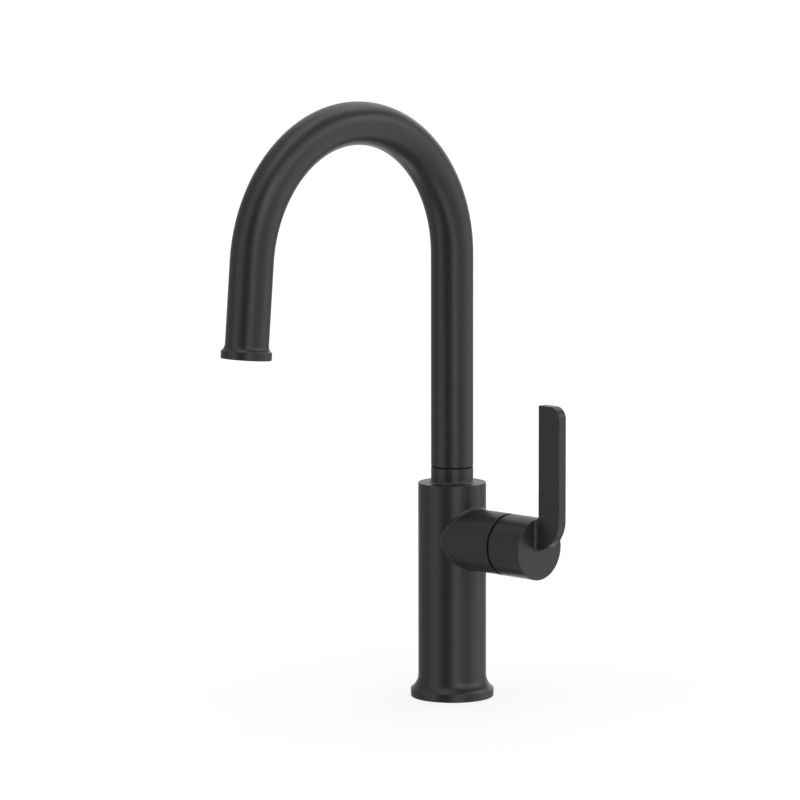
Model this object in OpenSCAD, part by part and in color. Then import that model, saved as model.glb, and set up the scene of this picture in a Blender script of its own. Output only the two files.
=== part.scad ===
// Water filter faucet: one hole in the deck, a quarter-turn ceramic valve and a turning gooseneck spout.
// Millimetres, +Z up. The origin is the centre of the foot, in the plane of the deck.
// The spout points along -Y, and the lever stands on the +X side of the body.

/* [Body] */
// Diameter of the valve body
body_d = 35.7; // [34:0.1:42]
// Height of the body's flat top above the deck
body_h = 113.8; // [100:0.1:140]
// Diameter of the foot flange
foot_d = 43.7; // [42:0.1:52]
// Height of the foot flange's straight rim
foot_rim_h = 4.4; // [2.6:0.1:6]
// Radius of the concave sweep from the rim up to the body
cove_r = 9; // [6:0.1:14]
// Height of the neck above the body's flat top
neck_h = 8.1; // [7:0.1:14]
// Radius of the fillet at the neck's foot
neck_fillet_r = 2; // [0.8:0.1:3]
// Edge break on the turned edges
edge_break = 0.3; // [0.2:0.05:0.6]

/* [Valve boss] */
// Drop from the body's flat top to the lever's turning axis
valve_drop = 28.7; // [27:0.1:40]
// Diameter of the boss and of the lever's hub
boss_d = 32.4; // [31.6:0.1:35]
// Reach of the boss's end face from the body's axis
boss_reach = 40.1; // [39:0.1:48]

/* [Lever handle] */
// Gap between the boss and the hub
hub_gap = 1.2; // [0.6:0.1:2]
// Length of the hub
hub_len = 21.6; // [20:0.1:30]
// Chamfer on the hub's inner edge
hub_chamfer = 1; // [0.4:0.1:1.6]
// Thickness of the flat lever
lever_t = 5.4; // [4:0.1:8]
// Width of the flat lever
lever_w = 14.5; // [12:0.1:20]
// Step from the hub's end face out to the lever's inner edge
lever_step = 1.5; // [1:0.1:3]
// Rise of the lever's top above its turning axis
lever_rise = 75.3; // [50:0.1:90]
// Radius of the bend from the hub up into the lever
lever_bend_r = 16.4; // [12:0.1:18]
// Radius of the lever's top outer corner
lever_corner_r = 6.35; // [1:0.05:10]
// Radius of the fillet at the lever's root
lever_root_r = 2; // [1:0.1:2.6]

/* [Gooseneck spout] */
// Outside diameter of the spout tube and of the neck
spout_d = 22.2; // [21.8:0.1:25]
// Wall of the spout tube
spout_wall = 1.2; // [0.8:0.1:1.5]
// Seam between the neck and the spout
seam_h = 0.65; // [0.4:0.05:1.2]
// Length of the upright stretch above the seam
riser_len = 111.25; // [60:0.25:180]
// Radius of the bend, at the middle of the tube
bend_r = 71.9; // [50:0.1:100]
// Angle that the bend turns through
bend_deg = 175; // [150:1:180]
// Length of the straight leg from the bend to the outlet
leg_len = 48.8; // [30:0.1:90]

/* [Outlet] */
// Outside diameter of the outlet collar
collar_d = 25.8; // [25:0.1:30]
// Height of the collar's straight band
collar_band_h = 4; // [2:0.1:6]
// Radius of the concave flare from the tube out to the band
collar_flare_r = 4.2; // [2.5:0.1:8]
// Diameter of the aerator's thread
aerator_d = 18.5; // [16.5:0.1:18.6]
// Length of the aerator's threaded housing
aerator_len = 7.8; // [6.6:0.1:10]
// Distance that the aerator sits up inside the collar
aerator_recess = 0.5; // [0.2:0.1:1]
// Width across flats of a honeycomb cell in the straightener
cell_af = 1.7; // [1.5:0.05:1.8]
// Wall between two honeycomb cells
cell_wall = 0.35; // [0.3:0.05:0.4]

/* [Deck side] */
// Diameter of the threaded socket for the mounting shank
shank_d = 20.96; // [16:0.02:22]
// Depth of the threaded socket
shank_depth = 14; // [10:0.5:20]
// Thickness of the flat seal above the shank
shank_seal_h = 2; // [1:0.1:3]
// Outside diameter of the gasket under the foot
gasket_d = 39; // [34:0.1:40]
// Width of the gasket's ring
gasket_w = 5.5; // [3:0.1:6]
// Thickness of the gasket under the foot
gasket_h = 2; // [1:0.1:2.4]
// Diameter of the inlet way up the body's axis
inlet_d = 7; // [5:0.1:8]

/* [Spout socket] */
// Diameter of the socket that the spout's foot turns in
socket_d = 18; // [16:0.1:18.2]
// Depth of the socket below the neck's top
socket_depth = 23.5; // [22.9:0.1:24.5]
// Diameter of the waterway through the spout's foot
foot_bore_d = 11; // [8:0.1:12]
// Length of the foot's spigot inside the tube
spigot_len = 13.5; // [8:0.1:24]
// Cord thickness of the spout's O-rings
spout_ring_t = 1.5; // [1.2:0.05:1.6]
// Diameter of the spout's grub screw
spout_screw_d = 4; // [3:0.1:4.4]

/* [Quarter-turn valve] */
// Distance from the body's axis to the valve's seat
seat_x = 6; // [5:0.1:7]
// Diameter of the valve housing's thread
headwork_d = 20.96; // [20.4:0.02:21.4]
// Length of the valve housing from its seat to its flange
headwork_len = 25; // [25:0.1:28]
// Thickness of the housing's hexagon
hexagon_h = 5; // [4:0.1:6]
// Width across flats of the housing's hexagon
hexagon_af = 22; // [19:0.1:22.2]
// Diameter of the ceramic discs
disc_d = 15.7; // [15:0.1:15.8]
// Thickness of each ceramic disc
disc_h = 3; // [2.5:0.1:3.2]
// Diameter of the stem's barrel
stem_d = 11; // [10:0.1:11.2]
// Diameter of the stem's splined end
spline_d = 8; // [7:0.1:8.2]
// Number of teeth on the spline
spline_teeth = 20; // [16:1:24]
// Angle that the valve turns through from shut to open
travel_deg = 90; // [90:1:100]
// Angle of the stem's stop lug
lug_deg = 60; // [40:1:80]
// Diameter of the handle's grub screw
handle_screw_d = 4; // [3:0.1:5]

/* [Fits] */
// Radial clearance of a fixed or turning fit
fit = 0.05; // [0.03:0.01:0.08]
// Gap between faces that slide on each other
slip = 0.02; // [0.02:0.01:0.05]
// Radial clearance of a seal in its groove
seal_fit = 0.03; // [0.02:0.01:0.05]

/* [Hidden] */
$fn = 96;

black_finish = "#303236";
brass = "#b08d4f";
rubber = "#1b1b1c";
ceramic = "#e9e6df";
black_plastic = "#222325";
white_plastic = "#dcdcd8";
steel = "#9a9da1";

// Height of a concave sweep of radius r that is upright at its top and reaches w outward.
function sweep_h(r, w) = sqrt(r * r - (r - w) * (r - w));

// Body
body_r = body_d / 2;
foot_r = foot_d / 2;
neck_r = spout_d / 2;
neck_top = body_h + neck_h;
cove_top = foot_rim_h + sweep_h(cove_r, foot_r - body_r);
foot_round_r = 0.6;
boss_r = boss_d / 2;
valve_z = body_h - valve_drop;

// Deck side
shank_r = shank_d / 2;
inlet_r = inlet_d / 2;
gasket_r = gasket_d / 2;
shank_seal_r = shank_r - 0.4;

// Spout socket and foot
socket_r = socket_d / 2;
socket_floor = neck_top - socket_depth;
foot_shank_r = socket_r - fit;
foot_end_gap = 0.5;
foot_start = socket_floor + foot_end_gap;
tube_start = neck_top + seam_h;
tube_r = spout_d / 2;
tube_bore_r = tube_r - spout_wall;
guide_h = 2;
guide_t = 1.2;
groove_play = 0.1;
lower_guide_z = foot_start + 0.8 + guide_h / 2;
ring_groove_w = spout_ring_t + 0.4;
lower_ring_z = lower_guide_z + guide_h / 2 + 0.7 + ring_groove_w / 2;
upper_ring_z = lower_ring_z + ring_groove_w + 0.8;
spout_screw_z = upper_ring_z + ring_groove_w / 2 + 0.5 + spout_screw_d / 2;
upper_guide_z = neck_top - 3;
screw_tip_r = spout_screw_d / 2 - 0.9;
keeper_play = 0.3;
keeper_depth = 1.7;
screw_sink = 0.8;
passage_r = 2.75;
passage_x = socket_r - passage_r - 0.1;

// Quarter-turn valve, measured along its own axis from the body's axis
headwork_r = headwork_d / 2;
flange_x = seat_x + headwork_len;
flange_h = 1.2;
flange_r = 12.8;
mouth_r = flange_r + 0.4;
hexagon_top = flange_x + flange_h + hexagon_h;
disc_r = disc_d / 2;
disc_bore_r = disc_r + fit;
seal_stand = 0.6;
seal_h = 2.4;
fixed_x = seat_x + seal_h;
moving_x = fixed_x + disc_h + slip;
bar_x = moving_x + disc_h + slip;
bar_h = 3.2;
bar_w = 7;
bar_r = disc_r - 0.35;
washer_h = 0.5;
washer_x = bar_x + bar_h + slip;
cavity_top = washer_x + washer_h + slip;
low_r = disc_bore_r + 1;
thread_x = cavity_top - 0.4;
seal_groove_r = headwork_r + 1.5;
seal_groove_h = 1.6;
barrel_r = stem_d / 2;
barrel_bore_r = barrel_r + fit + 0.03;
stem_ring_t = 1.3;
stem_groove_r = barrel_r - 1.4;
stem_ring_x = [cavity_top + 4, cavity_top + 8];
hub_x = boss_reach + hub_gap;
hub_end = hub_x + hub_len;
hub_cavity = 10;
core_x = hub_x + hub_cavity;
neck_end = core_x - 2;
housing_neck_r = barrel_bore_r + 1.9;
lug_r = barrel_r + 0.75;
lug_h = 2.4;
lug_sink = 0.2;
stop_bore_r = lug_r + 0.1;
stop_play_deg = 1;
circlip_x = neck_end + 0.12;
circlip_h = 0.9;
circlip_r = barrel_r + 0.5;
stem_head_r = spline_d / 2 + 0.6;
circlip_groove_r = stem_head_r - 0.7;
head_end = circlip_x + circlip_h + 0.4;
insert_len = 8.3;
insert_r = spline_d / 2 + 2;
insert_x = core_x + 0.2;
spline_end = core_x + insert_len - 0.4;
screw_x = core_x + insert_len / 2 + 0.3;
handle_screw_len = 10;
port_deg = 78;
port_in = 1.8;
port_out = disc_r - 1.5;

// Lever
hub_r = boss_r;
cavity_r = mouth_r + fit;
lever_in = hub_end + lever_step;
lever_out = lever_in + lever_w;
lever_top = valve_z + lever_rise;
bend_x = lever_out - lever_bend_r;
bend_z = valve_z + lever_bend_r;
hub_sink = 0.4;
lever_foot_z = valve_z + sqrt(hub_r * hub_r - lever_t * lever_t / 4);

// Bonnet ring
bonnet_start = hexagon_top + slip;
bonnet_end = hub_x + 3;

// Outlet, measured up the leg from its end
bend_z0 = tube_start + riser_len;
leg_slim = 0.02;
leg_tilt = 180 - bend_deg;
leg_drop = [-sin(bend_deg), cos(bend_deg)];
leg_start = [-bend_r * (1 - cos(bend_deg)), bend_z0 + bend_r * sin(bend_deg)];
outlet = leg_start + leg_len * leg_drop;
collar_r = collar_d / 2;
collar_top = collar_band_h + sweep_h(collar_flare_r, collar_r - tube_r);
collar_edge_r = 0.5;
aerator_r = aerator_d / 2;
aerator_top = aerator_recess + aerator_len;
aerator_seal_h = 1.2;
ledge_h = aerator_top + aerator_seal_h;
ledge_t = 2.4;
ledge_r = aerator_r - 1.7;
spigot_r = tube_bore_r - fit;
housing_wall = 1.2;
insert_bore_r = aerator_r - fit - housing_wall;
lip_h = 0.7;
lip_w = 0.6;
screen_t = 0.5;
straightener_h = 4.6;
straightener_rim = 0.5;

// The waste of a rounded corner: its tip is the origin and the solid lies toward -X and -Y.
module corner_waste(r) {
    difference() {
        translate([-r, -r]) square(r);
        translate([-r, -r]) circle(r);
    }
}

// Places children with their own Z along the valve's axis, and Z = 0 on the body's axis.
module on_valve_axis() {
    translate([0, 0, valve_z]) rotate([0, 90, 0]) children();
}

// Places children with their own Z up the spout's leg, and Z = 0 at the outlet's end.
module at_outlet() {
    translate([0, outlet[0], outlet[1]]) rotate([-leg_tilt, 0, 0]) children();
}

// A ring of rectangular section.
module ring(r_in, r_out, z0, h) {
    rotate_extrude() translate([r_in, z0]) square([r_out - r_in, h]);
}

// An O-ring of cord thickness t whose outside touches radius r_out.
module o_ring(r_out, z, t) {
    rotate_extrude() translate([r_out - t / 2, z]) circle(t / 2, $fn = 32);
}

// A sector of a ring, which starts at angle from and sweeps through angle turn.
module ring_sector(r_in, r_out, z0, h, from, turn) {
    rotate([0, 0, from]) rotate_extrude(angle = turn) translate([r_in, z0]) square([r_out - r_in, h]);
}

// A grub screw with its tip toward -Z, its socket end at Z = 0.
module grub_screw(d, len, tip_r, tip_len, key_af) {
    key_r = key_af / sqrt(3);
    difference() {
        union() {
            translate([0, 0, -len]) cylinder(r = tip_r, h = tip_len + 0.5);
            translate([0, 0, tip_len - len]) cylinder(r = d / 2 - fit, h = len - tip_len);
        }
        translate([0, 0, -key_af]) cylinder(r = key_r, h = key_af + 1, $fn = 6);
    }
}

// Outline of the turned body: foot rim, concave sweep, body, fillet and neck.
module body_outline() {
    difference() {
        polygon([[0, 0], [foot_r, 0], [foot_r, cove_top], [body_r, cove_top], [body_r, body_h - edge_break],
            [body_r - edge_break, body_h], [neck_r + neck_fillet_r, body_h],
            [neck_r + neck_fillet_r, body_h + neck_fillet_r], [neck_r, body_h + neck_fillet_r],
            [neck_r, neck_top - edge_break], [neck_r - edge_break, neck_top], [0, neck_top]]);
        translate([body_r + cove_r, cove_top]) circle(cove_r);
        translate([neck_r + neck_fillet_r, body_h + neck_fillet_r]) circle(neck_fillet_r);
        translate([foot_r, 0]) mirror([0, 1]) corner_waste(foot_round_r);
    }
}

// The bores in the body that take the valve, and the ways for the water.
module valve_bores() {
    on_valve_axis() {
        cylinder(r = inlet_r, h = seat_x + 1);
        translate([0, 0, seat_x]) cylinder(r = headwork_r + fit, h = boss_reach);
        translate([0, 0, flange_x - seal_groove_h]) cylinder(r = seal_groove_r, h = boss_reach);
        translate([0, 0, flange_x]) cylinder(r = mouth_r, h = boss_reach);
    }
    translate([0, 0, shank_depth]) cylinder(r = inlet_r, h = valve_z - shank_depth);
    translate([0, 0, valve_z]) sphere(inlet_r);
    passage_foot = valve_z + headwork_r - 1.5;
    translate([passage_x, 0, passage_foot]) cylinder(r = passage_r, h = socket_floor + 1 - passage_foot);
}

module valve_body() {
    color(black_finish)
    difference() {
        union() {
            rotate_extrude() body_outline();
            on_valve_axis() {
                cylinder(r = boss_r, h = boss_reach - edge_break);
                translate([0, 0, boss_reach - edge_break])
                    cylinder(r1 = boss_r, r2 = boss_r - edge_break, h = edge_break);
            }
        }
        valve_bores();
        translate([0, 0, socket_floor]) cylinder(r = socket_r, h = socket_depth + 1);
        translate([0, 0, spout_screw_z]) rotate([-90, 0, 0]) cylinder(r = spout_screw_d / 2, h = body_r + 1);
        translate([0, 0, -1]) cylinder(r = shank_r, h = shank_depth + 1);
        translate([0, 0, shank_depth - 0.5]) cylinder(r = shank_seal_r + fit, h = shank_seal_h + 0.5);
        ring(gasket_r - gasket_w - fit, gasket_r + fit, -1, gasket_h + 1);
    }
}

module deck_gasket() {
    color(rubber) ring(gasket_r - gasket_w, gasket_r, 0, gasket_h);
}

module shank_seal() {
    color(rubber) ring(inlet_r + 0.5, shank_seal_r, shank_depth, shank_seal_h);
}

// A sleeve in the boss's mouth, on which the hub turns; its middle shows in the gap.
module bonnet_ring() {
    color(black_plastic)
    on_valve_axis()
    rotate_extrude()
    difference() {
        translate([housing_neck_r + 0.2, bonnet_start])
            square([mouth_r - fit - housing_neck_r - 0.2, bonnet_end - bonnet_start]);
        translate([mouth_r - fit, bonnet_end]) corner_waste(0.5);
    }
}

module headwork_housing() {
    window_h = cavity_top - moving_x - 1;
    color(brass)
    on_valve_axis()
    difference() {
        union() {
            translate([0, 0, seat_x + seal_stand]) cylinder(r = low_r, h = thread_x - seat_x);
            translate([0, 0, thread_x]) cylinder(r = headwork_r, h = flange_x - thread_x);
            translate([0, 0, flange_x]) cylinder(r = flange_r, h = flange_h);
            translate([0, 0, flange_x + flange_h]) cylinder(r = hexagon_af / sqrt(3), h = hexagon_h, $fn = 6);
            translate([0, 0, hexagon_top - 1]) cylinder(r = housing_neck_r, h = neck_end - hexagon_top + 1);
        }
        translate([0, 0, seat_x]) cylinder(r = disc_bore_r, h = cavity_top - seat_x);
        translate([0, 0, cavity_top - 1]) cylinder(r = barrel_bore_r, h = neck_end);
        for (side = [0, 180])
            rotate([0, 0, side]) translate([0, -bar_w / 2 - 1, moving_x + 0.6])
                cube([low_r + 1, bar_w + 2, window_h]);
        ring_sector(barrel_bore_r - 0.5, stop_bore_r, neck_end - lug_h - lug_sink, lug_h + 1,
            -lug_deg / 2 - stop_play_deg, travel_deg + lug_deg + 2 * stop_play_deg);
    }
}

module headwork_o_ring() {
    color(rubber)
    on_valve_axis() o_ring(seal_groove_r - seal_fit, flange_x - seal_groove_h / 2, 1.4);
}

module seat_seal() {
    color(rubber) on_valve_axis() ring(inlet_r + 0.8, disc_bore_r - fit, seat_x, seal_h - slip);
}

// Two ports through a disc, opposite each other; turn is the angle of their middle.
module disc_ports(turn) {
    for (side = [0, 180])
        ring_sector(port_in, port_out, -1, disc_h + 2, turn + side - port_deg / 2, port_deg);
}

module fixed_disc() {
    color(ceramic)
    on_valve_axis() translate([0, 0, fixed_x])
    difference() {
        cylinder(r = disc_r, h = disc_h);
        disc_ports(90);
    }
}

module moving_disc() {
    color(ceramic)
    on_valve_axis() translate([0, 0, moving_x])
    difference() {
        cylinder(r = disc_r, h = disc_h);
        disc_ports(0);
        translate([-disc_r - 1, -1.5, disc_h - 1.3]) cube([2 * disc_r + 2, 3, 2]);
    }
}

module stem_glide_washer() {
    color(white_plastic) on_valve_axis() ring(barrel_r + 0.2, disc_bore_r - fit, washer_x, washer_h);
}

// The spline's outline: each tooth is a pair of points on the outer and a pair on the inner circle.
module spline_outline(grow) {
    step = 360 / spline_teeth;
    tooth_h = 0.45;
    function on(r, a) = [r * cos(a), r * sin(a)];
    polygon([for (i = [0 : spline_teeth - 1], k = [0 : 3])
        on(spline_d / 2 + grow - (k < 2 ? 0 : tooth_h), (i + [0.1, 0.4, 0.6, 0.9][k]) * step)]);
}

module valve_stem() {
    color(brass)
    on_valve_axis()
    difference() {
        union() {
            intersection() {
                translate([0, 0, bar_x]) cylinder(r = bar_r, h = bar_h);
                translate([-bar_w / 2, -disc_r, bar_x - 1]) cube([bar_w, 2 * disc_r, bar_h + 2]);
            }
            translate([-bar_w / 2 + 0.2, -1.4, bar_x - 1.2]) cube([bar_w - 0.4, 2.8, 2]);
            translate([0, 0, bar_x + bar_h - 1]) cylinder(r = barrel_r, h = neck_end - bar_x - bar_h + 1);
            ring_sector(barrel_r - 1, lug_r, neck_end - lug_h, lug_h - lug_sink, -lug_deg / 2, lug_deg);
            translate([0, 0, neck_end - 1]) cylinder(r = stem_head_r, h = head_end - neck_end + 1);
            translate([0, 0, head_end - 0.2]) linear_extrude(spline_end - head_end + 0.2) spline_outline(0);
        }
        for (x = stem_ring_x)
            ring(stem_groove_r, barrel_r + 1, x - stem_ring_t / 2 - 0.2, stem_ring_t + 0.4);
        ring(circlip_groove_r, barrel_r + 1, circlip_x - slip, circlip_h + 2 * slip);
    }
}

module stem_o_rings() {
    color(rubber)
    on_valve_axis() for (x = stem_ring_x) o_ring(barrel_r + fit, x, stem_ring_t);
}

module stem_circlip() {
    color(steel)
    on_valve_axis()
    difference() {
        ring(circlip_groove_r + fit, circlip_r, circlip_x, circlip_h);
        translate([-circlip_r - 1, -1.2, neck_end]) cube([circlip_r, 2.4, circlip_h + 2]);
    }
}

module spline_insert() {
    color(white_plastic)
    on_valve_axis()
    difference() {
        translate([0, 0, insert_x]) cylinder(r = insert_r - fit, h = insert_len - 0.2);
        translate([0, 0, insert_x - 1]) linear_extrude(insert_len + 2) spline_outline(fit);
        translate([0, 0, screw_x]) rotate([0, 90, 0]) cylinder(r = handle_screw_d / 2 + 0.1, h = insert_r + 1);
    }
}

module handle_grub_screw() {
    tip_end = spline_d / 2 + 0.1;
    color(steel)
    on_valve_axis() translate([tip_end + handle_screw_len, 0, screw_x]) rotate([0, 90, 0])
        grub_screw(handle_screw_d, handle_screw_len, handle_screw_d / 2 - 0.6, 1.5, 2);
}

// The flat lever seen from the front: bend at the foot, round outer corner and a fillet on the hub.
module lever_outline() {
    difference() {
        polygon([[hub_end - hub_sink, valve_z], [lever_out, valve_z], [lever_out, lever_top],
            [lever_in, lever_top], [lever_in, lever_foot_z + lever_step], [hub_end, lever_foot_z + lever_step],
            [hub_end, lever_foot_z], [hub_end - hub_sink, lever_foot_z]]);
        translate([lever_out, lever_top]) corner_waste(lever_corner_r);
        translate([lever_out, valve_z]) mirror([0, 1]) corner_waste(lever_bend_r);
        translate([hub_end, lever_foot_z + lever_step]) circle(lever_step);
    }
}

// Section of the lever's root fillet: X leads away from the lever, Y out from the hub's end face.
module root_section() {
    difference() {
        translate([0, -hub_sink]) square([lever_root_r, lever_root_r + hub_sink]);
        translate([lever_root_r, lever_root_r]) circle(lever_root_r);
    }
}

// The root fillet runs down one side of the lever, round its foot and up the other side.
module root_fillet() {
    half_t = lever_t / 2;
    intersection() {
        translate([0, 0, hub_end]) union() {
            for (side = [0, 1]) mirror([0, side]) {
                translate([0, half_t, 0]) rotate([90, 0, -90]) linear_extrude(hub_r) root_section();
                translate([0, half_t, 0]) rotate_extrude(angle = 90) root_section();
            }
            translate([0, half_t, 0]) rotate([90, 0, 0]) linear_extrude(lever_t) root_section();
        }
        translate([0, 0, hub_end - 1]) cylinder(r = hub_r, h = lever_root_r + 2);
    }
}

module lever_handle() {
    color(black_finish)
    difference() {
        union() {
            on_valve_axis() {
                translate([0, 0, hub_x])
                    cylinder(r1 = hub_r - hub_chamfer, r2 = hub_r, h = hub_chamfer);
                translate([0, 0, hub_x + hub_chamfer]) cylinder(r = hub_r, h = hub_len - hub_chamfer);
                root_fillet();
            }
            translate([0, lever_t / 2, 0]) rotate([90, 0, 0]) linear_extrude(lever_t) lever_outline();
        }
        on_valve_axis() {
            translate([0, 0, hub_x - 1]) cylinder(r = cavity_r, h = hub_cavity + 1);
            translate([0, 0, core_x - 1]) cylinder(r = insert_r, h = insert_len + 1.3);
            translate([0, 0, screw_x]) rotate([0, 90, 0]) cylinder(r = handle_screw_d / 2, h = hub_r + 1);
        }
    }
}

// The run of the bent tube at radius r: up the riser, round the bend toward -Y and down the leg.
// The leg is drawn a hair slimmer than the bend and laps into it, and over lengthens both ends.
module tube_run(r, over) {
    lap = 1;
    translate([0, 0, tube_start - over]) cylinder(r = r, h = riser_len + over);
    translate([0, -bend_r, bend_z0]) rotate([90, 0, 90]) {
        rotate_extrude(angle = bend_deg) translate([bend_r, 0]) circle(r);
        rotate([0, 0, bend_deg]) translate([bend_r, -lap, 0]) rotate([-90, 0, 0])
            cylinder(r = r - leg_slim, h = leg_len - collar_top + lap + over);
    }
}

module spout_tube() {
    color(black_finish)
    difference() {
        tube_run(tube_r, 0);
        tube_run(tube_bore_r, 1);
    }
}

// The spigot brazed in the tube, with grooves for two bearing rings, two O-rings and the keeper screw.
module spout_foot() {
    color(brass)
    difference() {
        union() {
            translate([0, 0, foot_start]) cylinder(r = foot_shank_r, h = tube_start - foot_start + 1);
            translate([0, 0, tube_start]) cylinder(r = spigot_r, h = spigot_len);
        }
        translate([0, 0, foot_start - 1]) cylinder(r = foot_bore_d / 2, h = spigot_len + socket_depth + seam_h + 2);
        for (z = [lower_guide_z, upper_guide_z])
            ring(socket_r - guide_t - 0.1, socket_r + 1, z - guide_h / 2 - groove_play / 2, guide_h + groove_play);
        for (z = [lower_ring_z, upper_ring_z])
            ring(socket_r - spout_ring_t - 0.1, socket_r + 1, z - ring_groove_w / 2, ring_groove_w);
        ring(socket_r - keeper_depth, socket_r + 1, spout_screw_z - screw_tip_r - keeper_play,
            2 * (screw_tip_r + keeper_play));
    }
}

module spout_o_rings() {
    color(rubber)
    for (z = [lower_ring_z, upper_ring_z]) o_ring(socket_r - seal_fit, z, spout_ring_t);
}

// Two bearing rings, each with a slanted slit so that it can be sprung into its groove.
module spout_guide_rings() {
    color(white_plastic)
    for (z = [lower_guide_z, upper_guide_z])
        difference() {
            ring(socket_r - guide_t - seal_fit, socket_r - seal_fit, z - guide_h / 2, guide_h);
            translate([0, 0, z]) rotate([30, 0, 0]) translate([0, -0.4, -guide_h]) cube([socket_r + 1, 0.8, 2 * guide_h]);
        }
}

module spout_grub_screw() {
    tip_end = socket_r - keeper_depth + keeper_play;
    color(steel)
    translate([0, body_r - screw_sink, spout_screw_z]) rotate([-90, 0, 0])
        grub_screw(spout_screw_d, body_r - screw_sink - tip_end, screw_tip_r, socket_r - tip_end + 0.4, 2);
}

module spout_glide_ring() {
    color(black_plastic) ring(socket_r + fit, neck_r - 0.2, neck_top, seam_h - slip);
}

// Outline of the collar: straight band, concave flare up to the tube, and the spigot inside the tube.
module collar_outline() {
    difference() {
        polygon([[aerator_r, 0], [collar_r, 0], [collar_r, collar_top], [tube_r, collar_top],
            [spigot_r, collar_top], [spigot_r, ledge_h + ledge_t], [ledge_r, ledge_h + ledge_t],
            [ledge_r, ledge_h], [aerator_r, ledge_h]]);
        translate([tube_r + collar_flare_r, collar_top]) circle(collar_flare_r);
        translate([collar_r, 0]) mirror([0, 1]) corner_waste(collar_edge_r);
    }
}

module outlet_collar() {
    color(black_finish) at_outlet() rotate_extrude() collar_outline();
}

// The aerator's housing is flush-mounted; a toothed key turns it by the notches in its lower edge.
module aerator_housing() {
    notches = 6;
    color(white_plastic)
    at_outlet()
    difference() {
        translate([0, 0, aerator_recess]) cylinder(r = aerator_r - fit, h = aerator_len);
        translate([0, 0, aerator_recess + lip_h]) cylinder(r = insert_bore_r, h = aerator_len);
        cylinder(r = insert_bore_r - lip_w, h = aerator_len);
        for (i = [0 : notches - 1])
            rotate([0, 0, i * 360 / notches]) translate([insert_bore_r, -0.8, 0]) cube([3, 1.6, aerator_recess + 0.8]);
    }
}

// Centres of a hexagonal grid with the given number of rings around its middle cell.
function hex_grid(rings, pitch) = [for (i = [-rings : rings], j = [-rings : rings])
    if (abs(i + j) <= rings) [pitch * (i + j / 2), pitch * j * sqrt(3) / 2]];

// The honeycomb that turns the flow into a clear stream.
module flow_straightener() {
    rim_r = insert_bore_r - fit;
    pitch = cell_af + cell_wall;
    color(white_plastic)
    at_outlet() translate([0, 0, aerator_recess + lip_h])
    difference() {
        cylinder(r = rim_r, h = straightener_h);
        for (p = hex_grid(3, pitch))
            if (norm(p) + cell_af / sqrt(3) < rim_r - straightener_rim)
                translate([p[0], p[1], -1]) rotate([0, 0, 30])
                    cylinder(r = cell_af / sqrt(3), h = straightener_h + 2, $fn = 6);
    }
}

module aerator_screen() {
    hole_r = 0.5;
    color(steel)
    at_outlet() translate([0, 0, aerator_recess + lip_h + straightener_h + slip])
    difference() {
        cylinder(r = insert_bore_r - fit, h = screen_t);
        for (p = hex_grid(4, 1.5)) translate([p[0], p[1], -1]) cylinder(r = hole_r, h = screen_t + 2, $fn = 24);
    }
}

module aerator_seal() {
    color(rubber) at_outlet() ring(ledge_r, aerator_r - fit, aerator_top, aerator_seal_h);
}

valve_body();
deck_gasket();
shank_seal();
bonnet_ring();
headwork_housing();
headwork_o_ring();
seat_seal();
fixed_disc();
stem_glide_washer();
spout_grub_screw();
spout_glide_ring();
lever_handle();
handle_grub_screw();
spline_insert();
valve_stem();
moving_disc();
stem_o_rings();
stem_circlip();
spout_tube();
spout_foot();
spout_o_rings();
spout_guide_rings();
outlet_collar();
aerator_housing();
flow_straightener();
aerator_screen();
aerator_seal();
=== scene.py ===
"""A drinking-water filter faucet in satin black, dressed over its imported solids.

The sections follow the order in which the faucet is put together. The faucet's own sizes are in millimetres,
and skin() turns them into metres. The camera, the sheet and the materials' patterns are in metres.
"""

import bpy
import numpy as np
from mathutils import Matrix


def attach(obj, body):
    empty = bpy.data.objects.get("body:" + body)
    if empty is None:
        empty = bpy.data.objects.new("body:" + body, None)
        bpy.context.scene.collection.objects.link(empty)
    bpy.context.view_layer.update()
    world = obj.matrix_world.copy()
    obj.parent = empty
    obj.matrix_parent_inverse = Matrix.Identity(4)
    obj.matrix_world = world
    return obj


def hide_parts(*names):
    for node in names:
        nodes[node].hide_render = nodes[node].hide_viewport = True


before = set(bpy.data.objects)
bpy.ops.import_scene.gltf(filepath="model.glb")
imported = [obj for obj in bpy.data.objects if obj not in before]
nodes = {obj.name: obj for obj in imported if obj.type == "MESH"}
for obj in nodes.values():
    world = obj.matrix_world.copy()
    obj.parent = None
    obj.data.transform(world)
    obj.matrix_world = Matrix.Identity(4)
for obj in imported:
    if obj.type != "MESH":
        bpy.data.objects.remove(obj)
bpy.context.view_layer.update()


# The view and the studio. A long lens looks from the front right, a little above the deck, as in a
# catalogue. The faucet stands on a white sheet between tall soft boxes, with others overhead.

lens = bpy.data.cameras.new("view")
lens.lens = 211.03
lens.sensor_width = 36
lens.clip_end = 60
camera = bpy.data.objects.new("view", lens)
camera.location = (1.6965, -1.7446, 0.4762)
camera.rotation_euler = np.radians((90 - 7.47, 0.1, 44.828))
bpy.context.scene.collection.objects.link(camera)
bpy.context.scene.camera = camera
bpy.context.scene.view_settings.view_transform = "Standard"


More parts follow.
